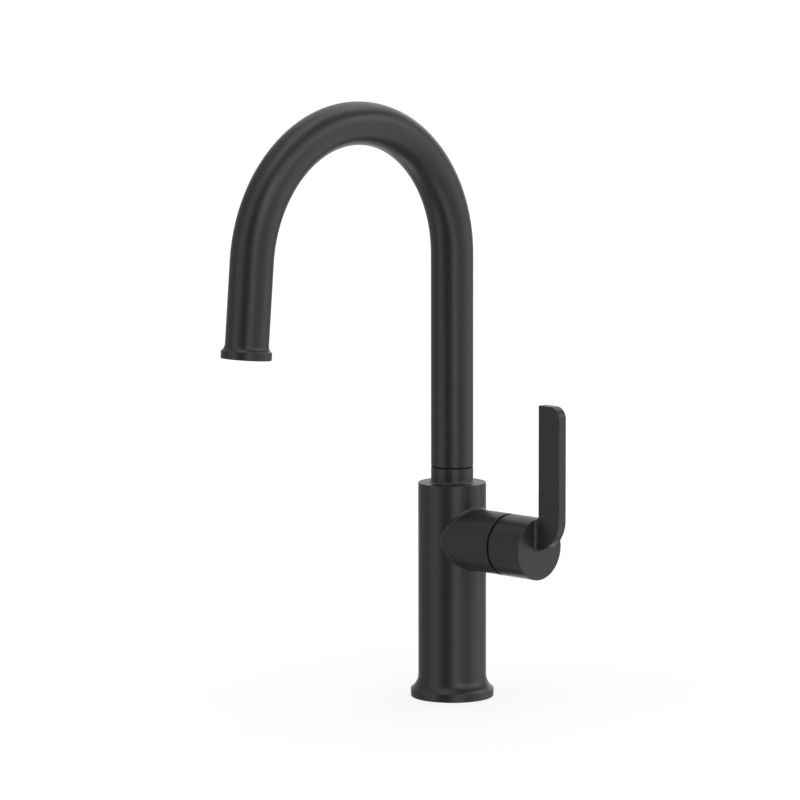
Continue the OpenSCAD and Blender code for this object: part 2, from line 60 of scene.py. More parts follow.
class Shade:
    """One value in a node tree. Its operators add Math nodes, and node() adds any other node."""

    def __init__(self, tree, socket=None):
        self.tree = tree
        self.socket = socket

    def node(self, kind, settings=None, sockets=None, out=0):
        """Adds a node: first its settings, then the values or links of its sockets.

        It returns the output that out names or numbers, or nothing where out is None."""
        made = self.tree.nodes.new(kind)
        for name, value in (settings or {}).items():
            setattr(made, name, value)
        for name, value in (sockets or {}).items():
            if isinstance(value, Shade):
                self.tree.links.new(value.socket, made.inputs[name])
            else:
                made.inputs[name].default_value = value
        return None if out is None else Shade(self.tree, made.outputs[out])

    def maths(self, operation, *values):
        """Adds a Math node of this operation on these values."""
        return self.node("ShaderNodeMath", {"operation": operation}, dict(enumerate(values)))

    def __add__(self, other):
        return self.maths("ADD", self, other)

    def __sub__(self, other):
        return self.maths("SUBTRACT", self, other)

    def __rsub__(self, other):
        return self.maths("SUBTRACT", other, self)

    def __mul__(self, other):
        return self.maths("MULTIPLY", self, other)

    __radd__ = __add__
    __rmul__ = __mul__


# The camera stands at -45 degrees about the Z axis, so 45 are added to make its side 0.
surroundings = bpy.data.worlds.new("studio")
bpy.context.scene.world = surroundings
surroundings.use_nodes = True
surroundings.node_tree.nodes.clear()
air = Shade(surroundings.node_tree)
direction = air.node("ShaderNodeTexCoord", out="Generated")
split = [air.node("ShaderNodeSeparateXYZ", sockets={0: direction}, out=axis) for axis in "XYZ"]
bearing = air.maths("ARCTAN2", split[1], split[0]) + np.radians(45)
elevation = air.maths("ARCSINE", split[2])
soft_edge = np.radians(6)


def within(angle, low, high):
    """1 where an angle lies between two limits, in degrees, and 0 outside, with a soft edge.

    It is a clipped ramp of the distance, the short way round, from the middle between the limits."""
    middle, half = np.radians((low + high) / 2), np.radians((high - low) / 2)
    off = air.maths("PINGPONG", angle - middle, np.pi)
    return air.node("ShaderNodeMath", {"operation": "MULTIPLY_ADD", "use_clamp": True},
                    {0: off, 1: -1 / soft_edge, 2: half / soft_edge + 0.5})


# Each soft box: its sides, in degrees to the right of the camera, its lower and upper edge, in degrees above
# the deck, and its brightness. A limit past 90 degrees up or down, or a width of more than a full turn,
# leaves no edge there.
glow = 0
for left, right, low, high, brightness in [
    (0, 28, -55, 45, 1.46),
    (29, 70, -57, 54, 0.59),
    (10, 90, 22, 43, 1.29),
    (70, 117, -54, 31, 1.09),
    (91, 99, 11, 30, 2.10),
    (120, 204, -41, 65, 0.48),
    (145, 177, 0, 75, 0.68),
    (115, 147, 40, 180, 1.30),
    (-83, -41, -49, 72, 0.92),
    (-182, -86, -59, 77, 0.33),
    (-67, -12, 57, 180, 1.20),
    (-190, 190, 73, 180, 1.38),
    (-168, -120, -80, -55, 1.30),
    (140, 187, -60, -17, 0.42),
    (-190, 190, -180, -50, 0.22),
    (-190, 190, 40, 75, 0.14),
]:
    glow = within(elevation, low, high) * within(bearing, left, right) * brightness + glow
seen = (air.node("ShaderNodeLightPath", out="Is Camera Ray")
        + air.node("ShaderNodeLightPath", out="Is Transmission Ray"))
air.node("ShaderNodeOutputWorld", sockets={
    "Surface": air.node("ShaderNodeBackground", sockets={
        "Color": (1, 1, 1, 1), "Strength": seen + (1 - seen) * glow})}, out=None)

# The sheet is a flat disc at the deck's height. Reflections don't show it, and it casts no shadow.
sheet_r = 4
sheet_sides = 96
sheet_angles = np.radians(np.arange(sheet_sides) * (360 / sheet_sides))
sheet_rim = np.stack([sheet_r * np.cos(sheet_angles), sheet_r * np.sin(sheet_angles), 0 * sheet_angles], 1)
floor_mesh = bpy.data.meshes.new("sheet")
floor_mesh.from_pydata(sheet_rim.tolist(), [], [list(range(sheet_sides))])
floor = bpy.data.objects.new("sheet", floor_mesh)
floor.visible_glossy = floor.visible_shadow = False
bpy.context.scene.collection.objects.link(floor)


def finish(name):
    """A new empty material, and the Shade that its nodes are made with."""
    made = bpy.data.materials.new(name)
    made.use_nodes = True
    made.node_tree.nodes.clear()
    return made, Shade(made.node_tree)


# The camera sees the sheet by its own light, mixed near the faucet with a lit share that takes the shadow.
# From below the sheet is clear.
sheet_white, shade = finish("sheet_white")
own_light = shade.node("ShaderNodeEmission", sockets={"Color": (1, 1, 1, 1), "Strength": 1.1})
lit = shade.node("ShaderNodeBsdfDiffuse", sockets={"Color": (0.8, 0.8, 0.8, 1)})
from_camera = shade.node("ShaderNodeLightPath", out="Is Camera Ray")
on_sheet = shade.node("ShaderNodeTexCoord", out="Object")
far = shade.node("ShaderNodeVectorMath", {"operation": "LENGTH"}, {0: on_sheet}, out="Value")
own_share = shade.node("ShaderNodeMath", {"operation": "MULTIPLY_ADD", "use_clamp": True},
                       {0: far, 1: 0.4, 2: 0.7})
top_side = shade.node("ShaderNodeMixShader", sockets={0: from_camera * own_share, 1: lit, 2: own_light})
under_side = shade.node("ShaderNodeBsdfTransparent")
shade.node("ShaderNodeOutputMaterial", sockets={
    "Surface": shade.node("ShaderNodeMixShader", sockets={
        0: shade.node("ShaderNodeNewGeometry", out="Backfacing"), 1: top_side, 2: under_side})}, out=None)
floor_mesh.materials.append(sheet_white)


# The body. It is one brass forging, turned, bored and plated satin black. It has a foot with a concave
# sweep, a plain column, a boss for the valve on its right side, blended in with a small fillet, and a neck
# for the spout.

body_r = 17.85
body_h = 113.8
foot_r = 21.85
foot_round = 0.6
cove_r = 9.0
cove_top = 11.883
neck_r = 11.1
neck_top = 121.9
neck_fillet = 2.0
edge = 0.3
socket_r = 9.0
socket_floor = 98.4
valve_z = 85.1
boss_r = 16.2
boss_end = 40.1
boss_fillet = 2.0
boss_band_low = 64
boss_band_top = 106.5
mouth_r = 13.2
mouth_floor = 31.0
shank_r = 10.48
shank_depth = 14.0
thread_pitch = 1.814
thread_depth = 1.1
thread_run_out = 1.2
seal_recess_r = 10.13
seal_recess_top = 16.0
inlet_r = 3.5
inlet_end = 40
gasket_in = 13.95
gasket_out = 19.55
gasket_h = 2.0
spout_screw_z = 109.5
spout_screw_r = 2.0
spout_hole_end = 9.6
screw_band_top = 113

turns = 128
around = np.linspace(0, 2 * np.pi, turns + 1)


def line(start, end):
    """The two ends of a straight run, with the normal on the right of the way along it."""
    ends = np.array([start, end], float)
    way = (ends[1] - ends[0]) / np.linalg.norm(ends[1] - ends[0])
    return ends, np.tile([way[1], -way[0]], (2, 1))


def arc(centre, radius, begin, end, steps=8):
    """Centre + radius (cos a, sin a) from one angle to the other, in degrees.

    The normal looks away from the centre where the angle grows, and towards it where it falls."""
    a = np.radians(np.linspace(begin, end, steps + 1))
    out = np.stack([np.cos(a), np.sin(a)], 1)
    return np.array(centre) + radius * out, out * np.sign(end - begin)


def turned(run):
    """A run of points (r, z) carried round the Z axis: (r cos a, r sin a, z). Its normals turn with it."""
    return tuple(np.stack([np.outer(v[:, 0], np.cos(around)), np.outer(v[:, 0], np.sin(around)),
                           np.outer(v[:, 1], np.ones(turns + 1))], -1) for v in run)


def opening_steps(half, sides):
    """Angles round an opening, one for each point of the outline of the sheet that it lies in.

    They go round in equal steps from the outline's lower left corner, with 270 degrees at the middle of its
    lower side. half is half the number of steps along that side, and sides is their number up each side."""
    first = np.radians(270 - 180 * half / (2 * half + sides))
    return first + np.linspace(0, 2 * np.pi, 2 * (2 * half + sides) + 1)


def opened_band(radius, low, high, angle, height, half, sides, rows=28):
    """The wall r = radius between two heights, with an opening whose edge is (angle, height), round angle 0.

    It is two sheets. In the first, half is the number of the turn's steps on each side of angle 0, and each
    point of its outline is joined by a straight run, in angle and height, to a point of the edge. The second
    is the plain rest."""
    up, end = np.linspace(low, high, sides + 1), around[half]
    along = np.linspace(-end, end, 2 * half + 1)
    outline_angle = np.concatenate([along, np.full(sides, end), -along[1:], np.full(sides, -end)])
    outline_height = np.concatenate([0 * along + low, up[1:], 0 * along[1:] + high, up[::-1][1:]])
    # The rows crowd towards the opening's edge.
    near = (1 - (1 - np.linspace(0, 1, rows + 1)) ** 1.5)[:, None]
    sheets = []
    for a, z in [((1 - near) * outline_angle + near * angle, (1 - near) * outline_height + near * height),
                 np.meshgrid(around[half:turns - half + 1], up)]:
        sheets.append((np.stack([radius * np.cos(a), radius * np.sin(a), z], -1),
                       np.stack([np.cos(a), np.sin(a), 0 * a], -1)))
    return sheets


def screw_hole(wall_r, low, high, hole_r, hole_z, hole_end):
    """The wall r = wall_r between two heights, with a blind hole for a grub screw along X at height hole_z.

    After the wall's two sheets come the hole's own wall, (x, hole_r cos s, hole_z + hole_r sin s) for x from
    the outside to hole_end, and its flat end."""
    half, sides = 16, 8
    s = opening_steps(half, sides)
    angle = np.arcsin(hole_r * np.cos(s) / wall_r)
    height = hole_z + hole_r * np.sin(s)
    depth = np.stack([wall_r * np.cos(angle), np.full(len(s), hole_end)])
    wall = np.stack([depth, np.tile(hole_r * np.cos(s), (2, 1)), np.tile(height, (2, 1))], -1)
    wall_look = np.tile(np.stack([0 * s, -np.cos(s), -np.sin(s)], -1), (2, 1, 1))
    bottom = np.stack([wall[1], np.tile([hole_end, 0, hole_z], (len(s), 1))])
    bottom_look = np.tile([1.0, 0, 0], (2, len(s), 1))
    sheets = opened_band(wall_r, low, high, angle, height, half, sides)
    return [*sheets, (wall, wall_look), (bottom, bottom_look)]


def quarter_turn(sheet):
    """A sheet turned 90 degrees about the Z axis: what lay along X lies along Y."""
    return tuple(np.stack([-v[..., 1], v[..., 0], v[..., 2]], -1) for v in sheet)


def skin(name, sheets, caps=()):
    """A mesh object from grids of points and normals. A cap is one flat face: its outline and its normal.

    Points that coincide are welded, and each grid's faces are turned to look along its normals."""
    points, normals, quads, count = [], [], [], 0
    for place, look in sheets:
        rows, columns = place.shape[:2]
        n = np.arange(rows * columns).reshape(rows, columns)
        quad = np.stack([n[:-1, :-1], n[:-1, 1:], n[1:, 1:], n[1:, :-1]], -1).reshape(-1, 4)
        place, look = place.reshape(-1, 3), look.reshape(-1, 3)
        across = np.cross(place[quad[:, 2]] - place[quad[:, 0]], place[quad[:, 3]] - place[quad[:, 1]])
        outwards = np.sum(across * look[quad[:, 0]]) > 0
        quads.append((quad if outwards else quad[:, ::-1]) + count)
        points.append(place)
        normals.append(look)
        count += len(place)
    outlines = []
    for place, look in caps:
        outlines.append(np.arange(len(place)) + count)
        points.append(place)
        normals.append(np.tile(look, (len(place), 1)))
        count += len(place)
    points, normals, quads = np.concatenate(points) / 1000, np.concatenate(normals), np.concatenate(quads)
    # Points in one cell of 0.1 micrometre are welded. The shift keeps round sizes off the cells' edges.
    cells_per_metre, shift = 1e7, 0.37
    key = np.round(points * cells_per_metre + shift).astype(np.int64)
    _, first, weld = np.unique(key, axis=0, return_index=True, return_inverse=True)
    weld = weld.ravel()
    keeps = weld[quads] != np.roll(weld[quads], -1, axis=1)
    fours = quads[keeps.all(1)]
    at_pole = keeps.sum(1) == 3
    threes = quads[at_pole][keeps[at_pole]].reshape(-1, 3)
    faces = weld[fours].tolist() + weld[threes].tolist() + [weld[outline].tolist() for outline in outlines]
    mesh = bpy.data.meshes.new(name)
    mesh.from_pydata(points[first].tolist(), [], faces)
    mesh.shade_smooth()
    corners = np.concatenate([fours.ravel(), threes.ravel(), *outlines])
    mesh.normals_split_custom_set(normals[corners].tolist())
    piece = bpy.data.objects.new(name, mesh)
    bpy.context.scene.collection.objects.link(piece)
    return piece


def flared(rim_r, rim_z, sweep_r, top_r, top_z):
    """A straight rim, a softened corner and the concave sweep up to (top_r, top_z).

    They are a line and two arcs that touch, at the angle that the rim's reach past the top gives."""
    touch = np.arccos((top_r + sweep_r - rim_r + edge) / (sweep_r + edge))
    corner_z = top_z - (sweep_r + edge) * np.sin(touch)
    touch = np.degrees(touch)
    return [line((rim_r, rim_z), (rim_r, corner_z)), arc((rim_r - edge, corner_z), edge, 0, touch),
            arc((top_r + sweep_r, top_z), sweep_r, 180 + touch, 180, 20)]


body_runs = [
    line((0, inlet_end), (inlet_r, inlet_end)),
    line((inlet_r, inlet_end), (inlet_r, seal_recess_top)),
    line((inlet_r, seal_recess_top), (seal_recess_r, seal_recess_top)),
    line((seal_recess_r, seal_recess_top), (seal_recess_r, shank_depth)),
    line((seal_recess_r, shank_depth), (shank_r, shank_depth)),
    line((shank_r, 0), (gasket_in, 0)),
    line((gasket_in, 0), (gasket_in, gasket_h)),
    line((gasket_in, gasket_h), (gasket_out, gasket_h)),
    line((gasket_out, gasket_h), (gasket_out, 0)),
    line((gasket_out, 0), (foot_r - foot_round, 0)),
    arc((foot_r - foot_round, foot_round), foot_round, -90, 0),
    *flared(foot_r, foot_round, cove_r, body_r, cove_top),
    line((body_r, cove_top), (body_r, boss_band_low)),
    line((body_r, screw_band_top), (body_r, body_h - edge)),
    arc((body_r - edge, body_h - edge), edge, 0, 90),
    line((body_r - edge, body_h), (neck_r + neck_fillet, body_h)),
    arc((neck_r + neck_fillet, body_h + neck_fillet), neck_fillet, 270, 180, 10),
    line((neck_r, body_h + neck_fillet), (neck_r, neck_top - edge)),
    arc((neck_r - edge, neck_top - edge), edge, 0, 90),
    line((neck_r - edge, neck_top), (socket_r, neck_top)),
    line((socket_r, neck_top), (socket_r, socket_floor)),
    line((socket_r, socket_floor), (0, socket_floor)),
]
body_sheets = [turned(run) for run in body_runs]

# The shank's thread: one ridge that climbs a pitch a turn, and fades into the plain wall at both ends. The
# power widens its crest a little. Its normals look towards the axis, and agree where the turn closes.
thread_height = np.linspace(0, shank_depth, 97)[:, None]
rounds = thread_height / thread_pitch - around / (2 * np.pi)
crest = 0.5 - 0.5 * np.cos(2 * np.pi * rounds)
ramp = np.clip(np.minimum(thread_height, shank_depth - thread_height) / thread_run_out, 0, 1)
thread_r = shank_r - thread_depth * crest ** 0.8 * ramp * ramp * (3 - 2 * ramp)
thread = np.stack([thread_r * np.cos(around), thread_r * np.sin(around), thread_height + 0 * around], -1)
slope = np.cross(np.gradient(thread, axis=1), np.gradient(thread, axis=0))
slope /= np.linalg.norm(slope, axis=-1, keepdims=True)
slope *= -np.sign(np.sum(slope[..., :2] * thread[..., :2]))
slope[:, 0] = slope[:, -1] = (slope[:, 0] + slope[:, -1]) / 2
body_sheets.append((thread, slope))

# The boss's fillet is the path of a ball that rolls round the boss and touches both: t goes round the boss.
boss_half, boss_sides = 32, 16
t = opening_steps(boss_half, boss_sides)
ball_y = (boss_r + boss_fillet) * np.cos(t)
ball_z = valve_z + (boss_r + boss_fillet) * np.sin(t)
ball_x = np.sqrt((body_r + boss_fillet) ** 2 - ball_y ** 2)
ball = np.stack([ball_x, ball_y, ball_z], -1)
from_body = np.stack([ball_x, ball_y, 0 * t], -1) / (body_r + boss_fillet)
from_boss = np.stack([0 * t, np.cos(t), np.sin(t)], -1)
fillet_angle = np.arcsin(ball_y / (body_r + boss_fillet))
body_sheets += opened_band(body_r, boss_band_low, boss_band_top, fillet_angle, ball_z, boss_half, boss_sides)
spread = np.arccos(np.sum(from_body * from_boss, -1))[:, None]
share = np.linspace(0, 1, 11)[:, None, None]
between = (np.sin((1 - share) * spread) * from_body + np.sin(share * spread) * from_boss) / np.sin(spread)
body_sheets.append((ball - boss_fillet * between, between))


def boss_ring(run):
    """A run of points (r, x) carried round the boss's axis at the steps of its fillet.

    The points are (x, r cos t, valve_z + r sin t)."""
    place, look = (np.stack([np.outer(v[:, 1], np.ones(len(t))), np.outer(v[:, 0], np.cos(t)),
                             np.outer(v[:, 0], np.sin(t))], -1) for v in run)
    return place + np.array([0, 0, valve_z]), look


boss_y, boss_z = boss_r * np.cos(t), valve_z + boss_r * np.sin(t)
boss_root = np.stack([ball_x, boss_y, boss_z], -1)
boss_tip = np.stack([boss_end - edge + 0 * t, boss_y, boss_z], -1)
body_sheets.append((np.stack([boss_root, boss_tip]), np.stack([from_boss, from_boss])))
for run in [
    arc((boss_r - edge, boss_end - edge), edge, 0, 90),
    line((boss_r - edge, boss_end), (mouth_r, boss_end)),
    line((mouth_r, boss_end), (mouth_r, mouth_floor)),
    line((mouth_r, mouth_floor), (0, mouth_floor)),
]:
    body_sheets.append(boss_ring(run))

# The hole for the spout's grub screw goes in at the back of the body.
drilled = screw_hole(body_r, boss_band_top, screw_band_top,
                     spout_screw_r, spout_screw_z, spout_hole_end)
body_sheets += [quarter_turn(sheet) for sheet in drilled]

body = skin("body_casting", body_sheets)
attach(body, "faucet_body")
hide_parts("valve_body")


def noise(shade, where, scale, detail):
    """Adds a noise texture: cloudy values from 0 to 1, with about scale clouds to the metre."""
    return shade.node("ShaderNodeTexNoise", sockets={"Vector": where, "Scale": scale, "Detail": detail})


def tint(shade, share, first, second):
    """Adds a mix of two colours: first + share (second - first)."""
    return shade.node("ShaderNodeMix", {"data_type": "RGBA"}, {0: share, 6: (*first, 1), 7: (*second, 1)}, 2)


def relief(shade, strength, distance, height):
    """Adds a bump: the normal leans as if the surface rose by height times distance.

    strength is the share of that lean which is taken."""
    return shade.node("ShaderNodeBump",
                      sockets={"Strength": strength, "Distance": distance, "Height": height})


def surface(shade, sockets):
    """Adds the shader with these values in its sockets, and the output."""
    shader = shade.node("ShaderNodeBsdfPrincipled", sockets=sockets)
    shade.node("ShaderNodeOutputMaterial", sockets={"Surface": shader}, out=None)


def satin_plating(name):
    """Satin black plating: a slight cloudiness, and a grain too fine to see.

    The grain shows only in the soft edge that it gives a gloss."""
    made, shade = finish(name)
    where = shade.node("ShaderNodeTexCoord", out="Object")
    cloud = noise(shade, where, 45.0, 3.0)
    grain = noise(shade, where, 2400.0, 2.0)
    colour = tint(shade, cloud, (0.0206, 0.0209, 0.0229), (0.0242, 0.0245, 0.0265))
    dimples = relief(shade, 0.25, 0.00003, grain)
    surface(shade, {"Base Color": colour, "Roughness": 0.29 + cloud * 0.02 + grain * 0.03,
                    "Specular IOR Level": 0.425, "Normal": dimples})
    return made


satin_black = satin_plating("satin_black")
body.data.materials.append(satin_black)


# The deck side: a flat rubber gasket in the foot's groove, and a rubber washer at the end of the shank's
# socket. Both are stamped from black sheet and drop in by hand.

def pressed_rubber(name):
    """Black rubber: a pale bloom in cloudy patches, and fine pores."""
    made, shade = finish(name)
    where = shade.node("ShaderNodeTexCoord", out="Object")
    bloom = noise(shade, where, 160.0, 4.0)
    pores = noise(shade, where, 3500.0, 2.0)
    colour = tint(shade, bloom, (0.014, 0.014, 0.014), (0.034, 0.033, 0.032))
    dimples = relief(shade, 0.5, 0.00006, pores)
    surface(shade, {"Base Color": colour, "Roughness": 0.72 + bloom * 0.12, "Normal": dimples})
    return made


def coat(material, *names):
    """Gives the solids with these names the material, in place of the plain one that they come with."""
    for name in names:
        mesh = nodes[name].data
        mesh.materials.clear()
        mesh.materials.append(material)


rubber = pressed_rubber("rubber")
coat(rubber, "deck_gasket", "shank_seal")


# The valve: a brass housing screwed into the boss, with two lapped ceramic discs, a seal behind the fixed
# one, and a brass stem held by a spring clip. The stem's two rings and the housing's one keep the water in.

def machined_brass(name, streaks):
    """Turned brass: fine tool marks that change quickly along the work's axis, and a slight tarnish."""
    made, shade = finish(name)
    where = shade.node("ShaderNodeTexCoord", out="Object")
    stretched = shade.node("ShaderNodeVectorMath", {"operation": "MULTIPLY"}, {0: where, 1: streaks})
    marks = noise(shade, stretched, 1.0, 3.0)
    tarnish = noise(shade, where, 130.0, 4.0)
    colour = tint(shade, tarnish, (0.66, 0.48, 0.21), (0.52, 0.36, 0.15))
    lathe = relief(shade, 0.35, 0.00002, marks)
    surface(shade, {"Base Color": colour, "Metallic": 1.0, "Roughness": 0.24 + tarnish * 0.12,
                    "Normal": lathe})
    return made


coat(machined_brass("valve_brass", (5000, 90, 90)), "headwork_housing", "valve_stem")
coat(rubber, "headwork_o_ring", "seat_seal", "stem_o_rings")


def lapped_ceramic(name):
    """White ceramic, lapped smooth: a fine warm speckle."""
    made, shade = finish(name)
    where = shade.node("ShaderNodeTexCoord", out="Object")
    speckle = noise(shade, where, 1800.0, 3.0)
    colour = tint(shade, speckle, (0.80, 0.78, 0.72), (0.90, 0.89, 0.85))
    surface(shade, {"Base Color": colour, "Roughness": 0.12 + speckle * 0.10})
    return made


coat(lapped_ceramic("ceramic"), "fixed_disc", "moving_disc")


def brushed_steel(name):
    """Stainless steel with fine brush marks, which change quickly along Z and slowly along X and Y."""
    made, shade = finish(name)
    where = shade.node("ShaderNodeTexCoord", out="Object")
    stretched = shade.node("ShaderNodeVectorMath", {"operation": "MULTIPLY"},
                           {0: where, 1: (300, 300, 6000)})
    brush = noise(shade, stretched, 1.0, 3.0)
    colour = tint(shade, brush, (0.46, 0.47, 0.48), (0.62, 0.63, 0.64))
    ridges = relief(shade, 0.25, 0.00001, brush)
    surface(shade, {"Base Color": colour, "Metallic": 1.0, "Roughness": 0.26 + brush * 0.14,
                    "Normal": ridges})
    return made


steel = brushed_steel("steel")
coat(steel, "stem_circlip")


def moulded(name, dark, pale, roughness, gloss=0.5):
    """A moulded plastic: a faint mottling, and the matt grain that the mould's wall leaves."""
    made, shade = finish(name)
    where = shade.node("ShaderNodeTexCoord", out="Object")
    mottle = noise(shade, where, 220.0, 3.0)
    grain = noise(shade, where, 3000.0, 2.0)
    colour = tint(shade, mottle, dark, pale)
    dimples = relief(shade, 0.3, 0.00003, grain)
    surface(shade, {"Base Color": colour, "Roughness": roughness + mottle * 0.08,
                    "Specular IOR Level": gloss, "Normal": dimples})
    return made


white_plastic = moulded("white_plastic", (0.66, 0.66, 0.63), (0.76, 0.76, 0.73), 0.38)
black_plastic = moulded("black_plastic", (0.010, 0.010, 0.011), (0.016, 0.016, 0.017), 0.48)
coat(white_plastic, "stem_glide_washer")

# The bonnet ring, pressed into the boss's mouth, centres the handle's hub and shows as a dark line.
coat(black_plastic, "bonnet_ring")


# The handle. The hub and its flat lever are one brass casting in the body's finish: the lever bends up out
# of the hub's end face, with a fillet round its root. A splined plastic insert and a grub screw hold it on
# the stem.

hub_r = 16.2
hub_start = 41.3
hub_end = 62.9
bevel_len = 1.7
bevel_depth = 0.5
hub_cavity_r = 13.25
core_start = 51.3
insert_r = 6.0
insert_end = 59.9
handle_screw_x = 55.75
handle_screw_r = 2.0
handle_hole_end = 6.5
hub_band_start = 50
hub_band_end = 61
lever_t = 5.4
lever_in = 64.4
lever_out = 78.9
lever_top = 160.4
lever_bend = 16.4
lever_corner = 6.35
lever_foot_z = valve_z + np.sqrt(hub_r ** 2 - (lever_t / 2) ** 2)
root_fillet = 2.0
root_overlap = 0.3
root_sink = 0.4
rim_gap = 0.02
crook = 1.5
tip_round = 0.5
lever_edge = 0.35


def on_valve_axis(sheet):
    """A sheet made round the Z axis, laid on the valve's axis: (x, y, z) goes to (z, y, valve_z - x)."""
    place, look = (np.stack([v[..., 2], v[..., 1], -v[..., 0]], -1) for v in sheet)
    return place + np.array([0, 0, valve_z]), look


hub_runs = [
    line((0, insert_end), (insert_r, insert_end)),
    line((insert_r, insert_end), (insert_r, core_start)),
    line((insert_r, core_start), (hub_cavity_r, core_start)),
    line((hub_cavity_r, core_start), (hub_cavity_r, hub_start)),
    line((hub_cavity_r, hub_start), (hub_r - bevel_depth, hub_start)),
    line((hub_r - bevel_depth, hub_start), (hub_r, hub_start + bevel_len)),
    line((hub_r, hub_start + bevel_len), (hub_r, hub_band_start)),
    line((hub_r, hub_band_end), (hub_r, hub_end - edge)),
    arc((hub_r - edge, hub_end - edge), edge, 0, 90),
    line((hub_r - edge, hub_end), (0, hub_end)),
]
lever_sheets = [on_valve_axis(turned(run)) for run in hub_runs]
drilled = screw_hole(hub_r, hub_band_start, hub_band_end,
                     handle_screw_r, handle_screw_x, handle_hole_end)
lever_sheets += [on_valve_axis(sheet) for sheet in drilled]

# The lever's outline in the plane of X and Z, walked with the metal on the left.
bend_x = lever_out - lever_bend
lever_runs = [
    arc((bend_x, valve_z + lever_bend), lever_bend, -90, 0, 28),
    line((lever_out, valve_z + lever_bend), (lever_out, lever_top - lever_corner)),
    arc((lever_out - lever_corner, lever_top - lever_corner), lever_corner, 0, 90, 20),
    line((lever_out - lever_corner, lever_top), (lever_in + tip_round, lever_top)),
    arc((lever_in + tip_round, lever_top - tip_round), tip_round, 90, 180, 6),
    line((lever_in, lever_top - tip_round), (lever_in, lever_foot_z + crook)),
    arc((hub_end, lever_foot_z + crook), crook, 0, -90, 8),
    line((hub_end, lever_foot_z), (bend_x, lever_foot_z)),
    arc((bend_x, lever_foot_z - lever_edge), lever_edge, 90, 180, 4),
    line((bend_x - lever_edge, lever_foot_z - lever_edge), (bend_x - lever_edge, valve_z + lever_edge)),
    arc((bend_x, valve_z + lever_edge), lever_edge, 180, 270, 4),
]

# Its edges are rounded: roll goes from 0 at each flat side to 90 degrees at the outline. The flat sides are
# two caps, whose outlines leave out the points that two runs share.
roll = np.radians(np.linspace(0, 90, 7))
across = lever_t / 2 - lever_edge * (1 - np.cos(roll))
across = np.concatenate([across, -across[::-1]])
inset = lever_edge * (1 - np.concatenate([np.sin(roll), np.sin(roll)[::-1]]))
lean = np.concatenate([np.cos(roll), -np.cos(roll)[::-1]])
upright = np.concatenate([np.sin(roll), np.sin(roll)[::-1]])
for place, look in lever_runs:
    x = place[:, 0] - np.outer(inset, look[:, 0])
    z = place[:, 1] - np.outer(inset, look[:, 1])
    y = np.outer(across, np.ones(len(place)))
    rolled = np.stack([np.outer(upright, look[:, 0]), np.outer(lean, np.ones(len(place))),
                       np.outer(upright, look[:, 1])], -1)
    lever_sheets.append((np.stack([x, y, z], -1), rolled))
face = np.concatenate([place - lever_edge * look for place, look in lever_runs])
face = face[np.linalg.norm(face - np.roll(face, 1, axis=0), axis=1) > 1e-6]
mirror = np.array([1, -1, 1])
front = np.stack([face[:, 0], np.full(len(face), -lever_t / 2), face[:, 1]], -1)
back = front[::-1] * mirror

# The root's fillet follows the lever's outline on the hub's end face: down one side, round the foot, up the
# other. Its section swings from the end face, at 0, up to the lever's side, at 90 degrees. One row more lies
# in the lever's metal, and the same rows sunk into the hub's metal close the fillet below.
swing_points, side_points, corner_points = 9, 9, 6
swing = np.radians(np.linspace(0, 90, swing_points))[:, None]
reach = np.append(root_fillet * (1 - np.sin(swing)), [[-root_overlap]], 0)
root_x = hub_end + np.append(root_fillet * (1 - np.cos(swing)), [[root_fillet]], 0)
rim_z = np.sqrt((hub_r - rim_gap) ** 2 - (lever_t / 2 + reach) ** 2)
corner = np.radians(np.concatenate([np.zeros(side_points), np.linspace(0, 90, corner_points + 1)[1:]]))
climb = np.concatenate([np.linspace(1, 0, side_points), np.zeros(corner_points)])
bend_lift = lever_bend - np.sqrt(lever_bend ** 2 - (root_x - bend_x) ** 2)
root_y = lever_t / 2 - lever_edge + (lever_edge + reach) * np.cos(corner)
root_z = lever_edge + (bend_lift - lever_edge - reach) * np.sin(corner) + climb * (rim_z - lever_edge)
root = np.stack([root_x + 0 * root_y, root_y, valve_z + root_z], -1)
root_look = np.stack([np.cos(swing) + 0 * corner, np.sin(swing) * np.cos(corner),
                      -np.sin(swing) * np.sin(corner)], -1)
root_look = np.concatenate([root_look, root_look[-1:]])
root, root_look = (np.concatenate([w, w[:, ::-1] * mirror], 1) for w in (root, root_look))
under = root * [0, 1, 1] + [hub_end - root_sink, 0, 0]
aside = root_look[-1] * [0, 1, 1]
rim_look = (root - [0, 0, valve_z]) * [0, 1, 1] / hub_r
lever_sheets += [(root, root_look), (under, 0 * root - [1, 0, 0])]
for top, below, look in [
    (root[0], under[0], aside),
    (root[-1], under[-1], -aside),
    (root[:, 0], under[:, 0], rim_look[:, 0]),
    (root[:, -1], under[:, -1], rim_look[:, -1]),
]:
    lever_sheets.append((np.stack([top, below]), np.stack([look, look])))

lever = skin("lever_casting", lever_sheets, [(front, (0, -1, 0)), (back, (0, 1, 0))])
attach(lever, "handle")
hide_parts("lever_handle")
lever.data.materials.append(satin_black)
coat(white_plastic, "spline_insert")
coat(steel, "handle_grub_screw")


# The spout's foot, brazed into the tube, drops into the body's neck on two plastic rings and two O-rings. A
# grub screw in the back of the body runs in its groove, and a thin plastic ring keeps the tube off the neck.

coat(machined_brass("foot_brass", (90, 90, 5000)), "spout_foot")
coat(rubber, "spout_o_rings")
coat(white_plastic, "spout_guide_rings")
# The glide ring is given a near-black, dull plastic, darker than the other black plastic, as painted shade:
# it stands for the shadow in the gap between the tube and the neck.
seam_shade_plastic = moulded("seam_shade_plastic", (0.003, 0.003, 0.003), (0.005, 0.005, 0.005), 0.60, 0.1)
coat(seam_shade_plastic, "spout_glide_ring")
coat(steel, "spout_grub_screw")


# The gooseneck: 7/8 in brass tube, drawn straight, bent once on a mandrel and plated with the collar in
# place. Its mouth, with a rounded outer edge, comes down to the glide ring.

